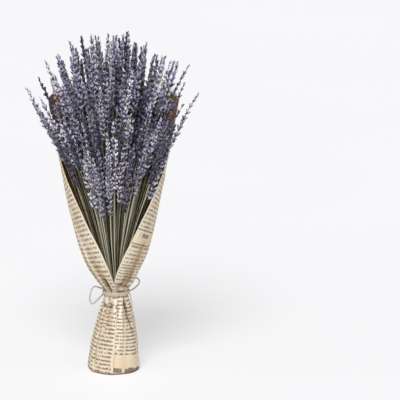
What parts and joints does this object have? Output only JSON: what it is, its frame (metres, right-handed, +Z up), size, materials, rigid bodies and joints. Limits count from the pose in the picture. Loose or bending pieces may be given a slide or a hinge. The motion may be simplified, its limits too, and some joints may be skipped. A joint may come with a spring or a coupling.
{
  "type": "bunch of dried lavender",
  "caption": "Standing bunch of dried lavender sprigs, fanned out above a waist tied with jute twine and wrapped in one sheet of newsprint that flares into a foot.",
  "frame": {"origin": "on the surface the bunch stands on, under the middle of its box", "axes": "+Z up along the stems, the front opening of the paper faces -Y, +X to the right seen from the front"},
  "size_m": [0.211, 0.144, 0.43],
  "materials": {
    "newsprint": "matte",
    "jute": "matte",
    "lavender": "matte"
  },
  "bodies": {
    "root": {"paper_wrap": "newsprint", "twine_winding": "jute", "twine_knot": "jute", "bow_loop_left": "jute", "bow_loop_right": "jute", "tail_right": "jute", "tail_back": "jute", "sprig_01": "lavender", "sprig_02": "lavender", "sprig_03": "lavender", "sprig_04": "lavender", "sprig_05": "lavender", "sprig_06": "lavender", "sprig_07": "lavender", "sprig_08": "lavender", "sprig_09": "lavender", "sprig_10": "lavender", "sprig_11": "lavender", "sprig_12": "lavender", "sprig_13": "lavender", "sprig_14": "lavender", "sprig_15": "lavender", "sprig_16": "lavender", "sprig_17": "lavender", "sprig_18": "lavender", "sprig_19": "lavender", "sprig_20": "lavender", "sprig_21": "lavender", "sprig_22": "lavender", "sprig_23": "lavender", "sprig_24": "lavender", "sprig_25": "lavender", "sprig_26": "lavender", "sprig_27": "lavender", "sprig_28": "lavender", "sprig_29": "lavender", "sprig_30": "lavender", "sprig_31": "lavender", "sprig_32": "lavender", "sprig_33": "lavender", "sprig_34": "lavender", "sprig_35": "lavender", "sprig_36": "lavender", "sprig_37": "lavender", "sprig_38": "lavender", "sprig_39": "lavender", "sprig_40": "lavender", "sprig_41": "lavender", "sprig_42": "lavender", "sprig_43": "lavender", "sprig_44": "lavender", "sprig_45": "lavender", "sprig_46": "lavender", "sprig_47": "lavender", "sprig_48": "lavender", "sprig_49": "lavender", "sprig_50": "lavender"}
  },
  "joints": []
}
